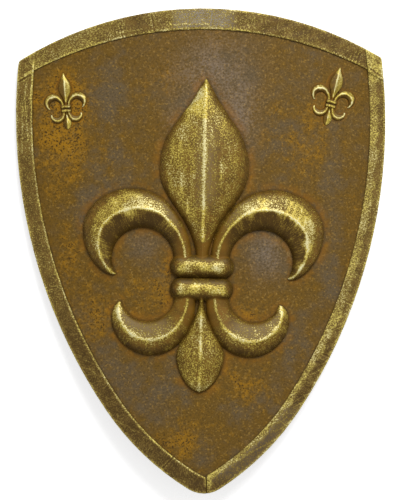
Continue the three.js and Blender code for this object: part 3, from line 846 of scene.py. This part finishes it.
def carve(piece, node, centre, lean, scale=1, rise=1, dark=1, slim=1, wide=1, one_sided=0):
    """Gives a relief its carved slopes, and marks where the paint and the brush went.

    A small one can have less painted shade (dark), a slimmer upper petal (slim), wider crests
    (wide) and petals painted lighter on their right and darker on their left, as light and shade
    (one_sided).
    """
    spots, normals = places(piece), facing(piece)
    turn = np.array([[math.cos(lean), -math.sin(lean)], [math.sin(lean), math.cos(lean)]])
    x, y = ((spots[:, :2] - centre) @ turn / scale * 1000).T
    uneven = waves(np.stack([x, y], axis=1), 26, 14, 11)
    drag = waves(np.stack([x * 3, y * 0.5], axis=1), 26, 14, 12)
    limbs = [(petal_at(x, y, UPPER_PETAL), paint_upper_petal)]
    limbs.append((petal_at(x, y, LOWER_PETAL), paint_lower_petal))
    limbs += [(arm_at(x, y, a), paint_upper_arm if a[2] > 0 else paint_lower_arm) for a in ARMS]
    limbs += [(bar_at(x, y, b), paint_bar) for b in BARS]
    heights = np.array([limb[0] for limb, paint in limbs])
    order = np.sort(heights, axis=0)
    gap = order[-1] - order[-2]
    height = order[-1] + np.where(order[-2] > 0, np.maximum(JOIN_FILLET - gap, 0) ** 2, 0) / 4
    top = heights.argmax(axis=0)
    brass, shade, painted_sheen = np.zeros(len(x)), np.full(len(x), 0.6), np.zeros(len(x))
    brush = np.stack([x, y * 0.6, height], axis=1)
    for index, ((_, across, foot, along), paint) in enumerate(limbs):
        here = (top == index) & (heights[index] > 0)
        painted = paint(across, foot, along, drag if index < 2 else uneven, wide)
        # Painted light and shade on the petals: lighter on their right, darker on their left.
        lit = 1.3 * step(across, -1, 5) - step(-across, -1, 6)
        extra = one_sided * lit if index < 2 else 0 * across
        for arm, degree, spread, gain in ARM_DABS:
            if arm == index - 2:
                extra += gain * near(along, degree, spread)
        brass = np.where(here, painted[0] + extra * step(foot, 1, 5), brass)
        shade = np.where(here, painted[1], shade)
        painted_sheen = np.where(here, painted[2], painted_sheen)
        if 2 <= index < 6:
            arc = np.stack([np.radians(along) * 70, across * 0.16, height * 0.1], axis=1)
            brush = np.where(here[:, None], arc, brush)
    if scale == 1:
        for line, width in SCUFFS_AND_GLINT:
            brass += 0.45 * near(strokes(spots, line), 0, width)
    # Rust gathers in the joins and on the stems beside the band.
    stem = step(abs(y), 84, 62) * step(abs(x), 46, 30) * (top > 1) * (top < 6)
    stem = np.maximum(stem, step(y, 60, 48) * (top == 0))
    join = step(gap, 6, 0.5) * step(order[-2], 1, 4)
    rusty = np.clip((0.75 + 0.2 * uneven) * stem * step(brass, 0.7, 0.2) + 0.8 * join, 0, 1)
    rusty = blurred(piece, rusty, 2)
    mark(piece, "rust", 0.85 * rusty)
    brass -= 0.15 * rusty
    mark(piece, "brass", np.clip(blurred(piece, brass, 1), 0, 1.5))
    # The shade mark is painted shade, and the sheen mark a painted reflection of the light.
    mark(piece, "shade", dark * np.clip(blurred(piece, shade, 1), 0, 1))
    mark(piece, "painted_sheen", np.clip(blurred(piece, painted_sheen, 1), 0, 1))
    mark(piece, "brush", brush * scale / 1000)
    base = face_height(spots[:, 0])
    old_height = spots[:, 2] - base + facet_gap(spots[:, 0])
    upper = (heights.max(axis=0) > 0) & (normals[:, 2] > 0) & (old_height > 0.0008 * scale)
    carved = base + height * rise / 1000
    laid = spots[:, 2] + facet_gap(spots[:, 0])
    spots[:, 2] = np.where(upper, carved, laid) - 0.0004 * step(old_height, 0.0012 * scale, 0)
    spots[:, 2] = np.minimum(spots[:, 2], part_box(node)[1].z)
    # The small ones have a slimmer upper petal.
    petal_foot = limbs[0][0][2]
    in_petal = ((top == 0) & (heights[0] > 0)) | ((petal_foot > -2) & (y > 95))
    thin_x = np.where(in_petal, x * (1 - (1 - slim) * step(y, 50, 95)), x)
    spots[:, :2] = centre + np.stack([thin_x, y], axis=1) @ turn.T * scale / 1000
    move_to(piece, spots)


def finish_relief(piece, node, paint):
    edit_faces(piece, [p.normal.z < -0.95 for p in piece.data.polygons])
    bpy.ops.mesh.dissolve_limited(angle_limit=math.radians(3))
    bpy.ops.object.mode_set(mode="OBJECT")
    piece.data.materials.append(paint)
    bpy.ops.object.shade_smooth_by_angle(angle=math.radians(70))
    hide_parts(node)
    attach(piece, "root")


relief = cad_copy("fleur_de_lis", "large_fleur_de_lis")
remesh(relief, RELIEF_VOXEL, 2)
carve(relief, "fleur_de_lis", RELIEF_CENTRE, RELIEF_LEAN)
relief_paint = brassed("brass_brushed_relief", 0.0018, 0.0018, 3.6, RELIEF_TONES)
finish_relief(relief, "fleur_de_lis", relief_paint)

# ---- the two small fleurs-de-lis ----
# Small reliefs of the same pattern, one in each upper corner, carved from thin foam, glued to the face
# and painted like the large one. They lean by different amounts.

SMALL_VOXEL = 0.00045
SMALL_FLEURS = [  # node, lean, size beside the large one, depth beside it
    ("small_fleur_left", 4.4, 0.182, 0.24),
    ("small_fleur_right", -14.8, 0.191, 0.24),
]
small_paint = brassed("brass_brushed_small_relief", 0.0014, 0.0012, 1.4, RELIEF_TONES)
for node, lean, scale, rise in SMALL_FLEURS:
    fleur = cad_copy(node, node.replace("fleur", "fleur_de_lis"))
    remesh(fleur, SMALL_VOXEL, 2)
    carve(
        fleur, node, SMALL_RELIEFS[node], math.radians(lean), scale, rise,
        dark=0.6, slim=0.8, wide=3.2, one_sided=0.3,
    )  # fmt: skip
    finish_relief(fleur, node, small_paint)

# ---- the straps behind ----
# Two belts of thick brown leather, a wide one for the forearm and a narrow one for the hand, stitched
# along both edges. Their ends lie flat on the back, and between them they hang in a loop.

BACK_GAP = 0.0003
STRAPS = {  # node: place across, width, thickness, half length, length of each end, half level run
    "forearm_strap": (0.095, 0.046, 0.004, 0.122, 0.044, 0.040),
    "hand_grip": (-0.088, 0.034, 0.005, 0.100, 0.038, 0.028),
}
STITCH_LENGTH = 0.0036
STITCH_PITCH = 0.0056
STITCH_INSET = 0.0042  # from the strap's edge
STITCH_WIDTH = 0.0011
STITCH_THICKNESS = 0.0009
STITCH_DEPTH = 0.0005  # of the groove that they lie in
STRAP_ROLL = 0.0011  # radius of the rolled edges
CORNER_SHARE = 1 / 3  # of the width is taken up by each round corner


def on_strap(node, across, y):
    """Height of the middle of a strap's leather."""
    x, _, thickness, half_length, end, level = STRAPS[node]
    end_height = float(back_height(x)) - thickness / 2 - BACK_GAP
    share = np.clip((abs(y) - level) / (half_length - end - level), 0, 1)
    share = share**3 * (share * (share * 6 - 15) + 10)
    slope = -x / math.sqrt(BACK_RADIUS**2 - x**2)
    return thickness / 2 + (end_height - thickness / 2) * share + across * slope * share


def leather():
    finish = Finish("strap_leather", {"Specular IOR Level": 0.4})
    where = finish.places()
    pores = finish.grain(where, 0.0016, 3, 0.6)
    hide = finish.grain(where, 0.012, 4, 0.6)
    colour = finish.mix(finish.between(hide, 0.35, 0.65), chip(62, 40, 24), chip(86, 58, 36))
    colour = finish.mix(finish.between(pores, 0.5, 0.4) * 0.5, colour, chip(40, 25, 15))
    colour = finish.mix(finish.marked("rim") * 0.7, colour, chip(112, 82, 54))
    bump = finish.bump(pores, 0.0004, 0.6)
    bump = finish.bump(hide, 0.001, 0.4, bump)
    finish.ends(Base_Color=colour, Roughness=0.5 + pores * 0.3, Normal=bump)
    return finish.material


def thread():
    finish = Finish("waxed_thread", {})
    ply = finish.grain(finish.places(), 0.0008, 2, 0.5)
    colour = finish.mix(finish.between(ply, 0.4, 0.6), chip(150, 128, 92), chip(186, 166, 128))
    finish.ends(Base_Color=colour, Roughness=0.6 + ply * 0.2, Normal=finish.bump(ply, 0.0002, 0.5))
    return finish.material


strap_paint, thread_paint = leather(), thread()
for node, (strap_x, width, thickness, half_length, *_) in STRAPS.items():
    bpy.ops.object.select_all(action="DESELECT")
    bpy.ops.mesh.primitive_grid_add(x_subdivisions=16, y_subdivisions=110, size=1)
    belt = bpy.context.object
    belt.name = node + "_belt"
    spots = places(belt)
    across, y = spots[:, 0] * width * 0.995, spots[:, 1] * 2 * half_length
    # The four corners are cut round.
    corner = width * CORNER_SHARE
    past = np.maximum(abs(y) - (half_length - corner), 0) / corner
    across *= 1 - 0.30 * past**3
    spots = np.stack([strap_x + across, y, on_strap(node, across, y)], axis=1)
    move_to(belt, spots)
    pick(belt)
    wall = belt.modifiers.new("wall", "SOLIDIFY")
    wall.thickness, wall.offset = thickness - 0.0001, 0
    bpy.ops.object.modifier_apply(modifier=wall.name)
    rolled = belt.modifiers.new("rolled", "BEVEL")
    rolled.width, rolled.segments, rolled.limit_method = STRAP_ROLL, 3, "ANGLE"
    rolled.angle_limit = math.radians(50)
    bpy.ops.object.modifier_apply(modifier=rolled.name)
    spots = places(belt)
    rim = step(abs(spots[:, 0] - strap_x), width / 2 - 0.0022, width / 2 - 0.0004)
    mark(belt, "rim", rim)
    # A groove is pressed in under each row of stitches.
    row = width / 2 - STITCH_INSET
    groove = near(abs(spots[:, 0] - strap_x), row, STITCH_THICKNESS)
    outer_side = spots[:, 2] < on_strap(node, spots[:, 0] - strap_x, spots[:, 1])
    spots[:, 2] += np.where(outer_side, STITCH_DEPTH, -0.0003) * groove
    move_to(belt, spots)
    belt.data.materials.append(strap_paint)
    bpy.ops.object.shade_smooth_by_angle(angle=math.radians(40))
    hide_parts(node)
    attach(belt, "root")

    bpy.ops.object.select_all(action="DESELECT")
    bpy.ops.mesh.primitive_uv_sphere_add(segments=8, ring_count=6, radius=0.5)
    stitch = bpy.context.object
    spots = places(stitch)
    faces = [tuple(p.vertices) for p in stitch.data.polygons]
    bpy.data.objects.remove(stitch)
    run = half_length - corner - 0.002
    steps = np.linspace(-run, run, 2 * int(run / STITCH_PITCH) + 1)
    rows, all_faces = [], []
    for side in (-row, row):
        for middle in steps:
            y = middle + spots[:, 1] * STITCH_LENGTH
            x = side + spots[:, 0] * STITCH_WIDTH
            slant = (on_strap(node, x, y + 0.001) - on_strap(node, x, y - 0.001)) / 0.002
            surface = on_strap(node, x, y) - thickness / 2 * np.sqrt(1 + slant**2)
            height = surface + STITCH_DEPTH + spots[:, 2] * STITCH_THICKNESS * np.sqrt(1 + slant**2)
            first = len(rows) * len(spots)
            rows.append(np.stack([strap_x + x, y, height], axis=1))
            all_faces += [tuple(first + v for v in face) for face in faces]
    seam = bpy.data.meshes.new(node + "_stitches")
    seam.from_pydata(np.concatenate(rows).tolist(), [], all_faces)
    stitches = bpy.data.objects.new(node + "_stitches", seam)
    bpy.context.scene.collection.objects.link(stitches)
    seam.materials.append(thread_paint)
    pick(stitches)
    bpy.ops.object.shade_smooth()
    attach(stitches, "root")

# ---- the rivets ----
# Each strap end is held by two brass rivets, driven through the leather into the board. Their low
# domed heads are dulled, and dirt has darkened them round the rim.

RIVET_RADIUS = 0.0055
RIVET_HEIGHT = 0.0024
RIVET_FLANGE = 0.0007  # thickness of the flat rim round the dome
RIVET_LIP = 0.0007  # the first ring of faces in from the edge
RIVET_ROUNDING = 0.0034
RIVET_DOME_SHARE = 0.88  # of the head's radius

bpy.ops.object.select_all(action="DESELECT")
bpy.ops.mesh.primitive_cylinder_add(vertices=40, radius=RIVET_RADIUS, depth=RIVET_HEIGHT)
head = bpy.context.object
head.name = "rivet_head"
edit_faces(head, [p.normal.z > 0.9 for p in head.data.polygons])
bpy.ops.mesh.inset(thickness=RIVET_LIP, depth=0)
bpy.ops.mesh.bevel(offset=RIVET_ROUNDING, segments=8, profile=0.5, affect="EDGES")
bpy.ops.object.mode_set(mode="OBJECT")
spots = places(head)
out = np.hypot(spots[:, 0], spots[:, 1]) / RIVET_RADIUS
dome = np.sqrt(np.clip(1 - (out / RIVET_DOME_SHARE) ** 2, 0, 1))
dome = RIVET_FLANGE + (RIVET_HEIGHT - RIVET_FLANGE) * dome
spots[:, 2] = np.where(spots[:, 2] > 0, dome, 0)
move_to(head, spots)


def old_brass():
    finish = Finish("old_brass", {})
    where = finish.places()
    scratch = finish.grain(where, 0.0012, 3, 0.6)
    tarnish = finish.grain(where, 0.004, 3, 0.6)
    colour = finish.mix(finish.between(tarnish, 0.4, 0.6), chip(118, 94, 48), chip(172, 146, 84))
    colour = finish.mix(finish.marked("rim") * 0.8, colour, chip(48, 36, 18))
    bump = finish.bump(scratch, 0.0002, 0.4)
    finish.ends(Base_Color=colour, Metallic=0.9 - finish.marked("rim") * 0.5, Normal=bump)
    finish.ends(Roughness=0.34 + scratch * 0.25)
    return finish.material


mark(head, "rim", step(out, 0.72, 0.9))
head.data.materials.append(old_brass())
shape = places(head)
for node, (strap_x, width, thickness, half_length, end, _) in STRAPS.items():
    tilt = math.asin(strap_x / BACK_RADIUS)
    for side, across in (("left", -width / 4), ("right", width / 4)):
        for place, y in (("top", half_length - end / 2), ("bottom", end / 2 - half_length)):
            copy = bpy.data.objects.new(f"{node}_rivet_head_{place}_{side}", head.data.copy())
            bpy.context.scene.collection.objects.link(copy)
            x, z = shape[:, 0] + across, -shape[:, 2] - thickness - BACK_GAP
            turned_x = strap_x + x * math.cos(tilt) + z * math.sin(tilt)
            turned_z = back_height(strap_x) - x * math.sin(tilt) + z * math.cos(tilt)
            move_to(copy, np.stack([turned_x, y + shape[:, 1], turned_z], axis=1))
            pick(copy)
            bpy.ops.object.mode_set(mode="EDIT")
            bpy.ops.mesh.select_all(action="SELECT")
            bpy.ops.mesh.normals_make_consistent(inside=False)
            bpy.ops.object.mode_set(mode="OBJECT")
            bpy.ops.object.shade_smooth_by_angle(angle=math.radians(40))
            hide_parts(f"{node}_rivet_{place}_{side}")
            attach(copy, "root")
bpy.data.objects.remove(head)

# ---- the floor, the lights and the camera ----
# A plain white floor that glows a little, one large soft light high beyond the top edge and to the
# right, a weak one beyond the tip, and a camera far above, looking straight down.

bpy.ops.object.select_all(action="DESELECT")
bpy.ops.mesh.primitive_plane_add(size=60, location=(0, 0, 0))
floor = bpy.context.object
floor.name = "floor"
PAPER = {
    "Base Color": (0.95, 0.95, 0.95, 1),
    "Roughness": 0.9,
    "Emission Color": (1, 1, 1, 1),
    "Emission Strength": 0.52,
}
paper = Finish("white_paper", PAPER)
floor.data.materials.append(paper.material)


def soft_light(name, place, size, power):
    light = bpy.data.lights.new(name, "AREA")
    light.shape, light.size, light.energy = "DISK", size, power
    lamp = bpy.data.objects.new(name, light)
    lamp.location = place
    lamp.rotation_euler = (-Vector(place)).to_track_quat("-Z", "Y").to_euler()
    bpy.context.scene.collection.objects.link(lamp)


soft_light("key", (0.8, 2.2, 2.8), 2.2, 118)
soft_light("fill", (-1.2, -2.0, 2.6), 2.0, 10)
world = bpy.data.worlds.new("studio")
world.use_nodes = True
world.node_tree.nodes["Background"].inputs["Color"].default_value = (1, 1, 1, 1)
world.node_tree.nodes["Background"].inputs["Strength"].default_value = 0.42
bpy.context.scene.world = world
bpy.context.scene.view_settings.view_transform = "Standard"

CAMERA_DISTANCE = 12.0
VIEW_HEIGHT = 0.74285  # of floor and shield seen from top to bottom
VIEW_PLANE = 0.035  # above the floor
VIEW_MIDDLE = (-0.0013, 0.0015)
VIEW_TURN = math.radians(-0.54)
camera = bpy.data.objects.new("camera", bpy.data.cameras.new("camera"))
camera.location = (*VIEW_MIDDLE, VIEW_PLANE + CAMERA_DISTANCE)
camera.rotation_euler = (0, 0, VIEW_TURN)
camera.data.lens = camera.data.sensor_width * CAMERA_DISTANCE / VIEW_HEIGHT
camera.data.clip_end = 100
bpy.context.scene.collection.objects.link(camera)
bpy.context.scene.camera = camera
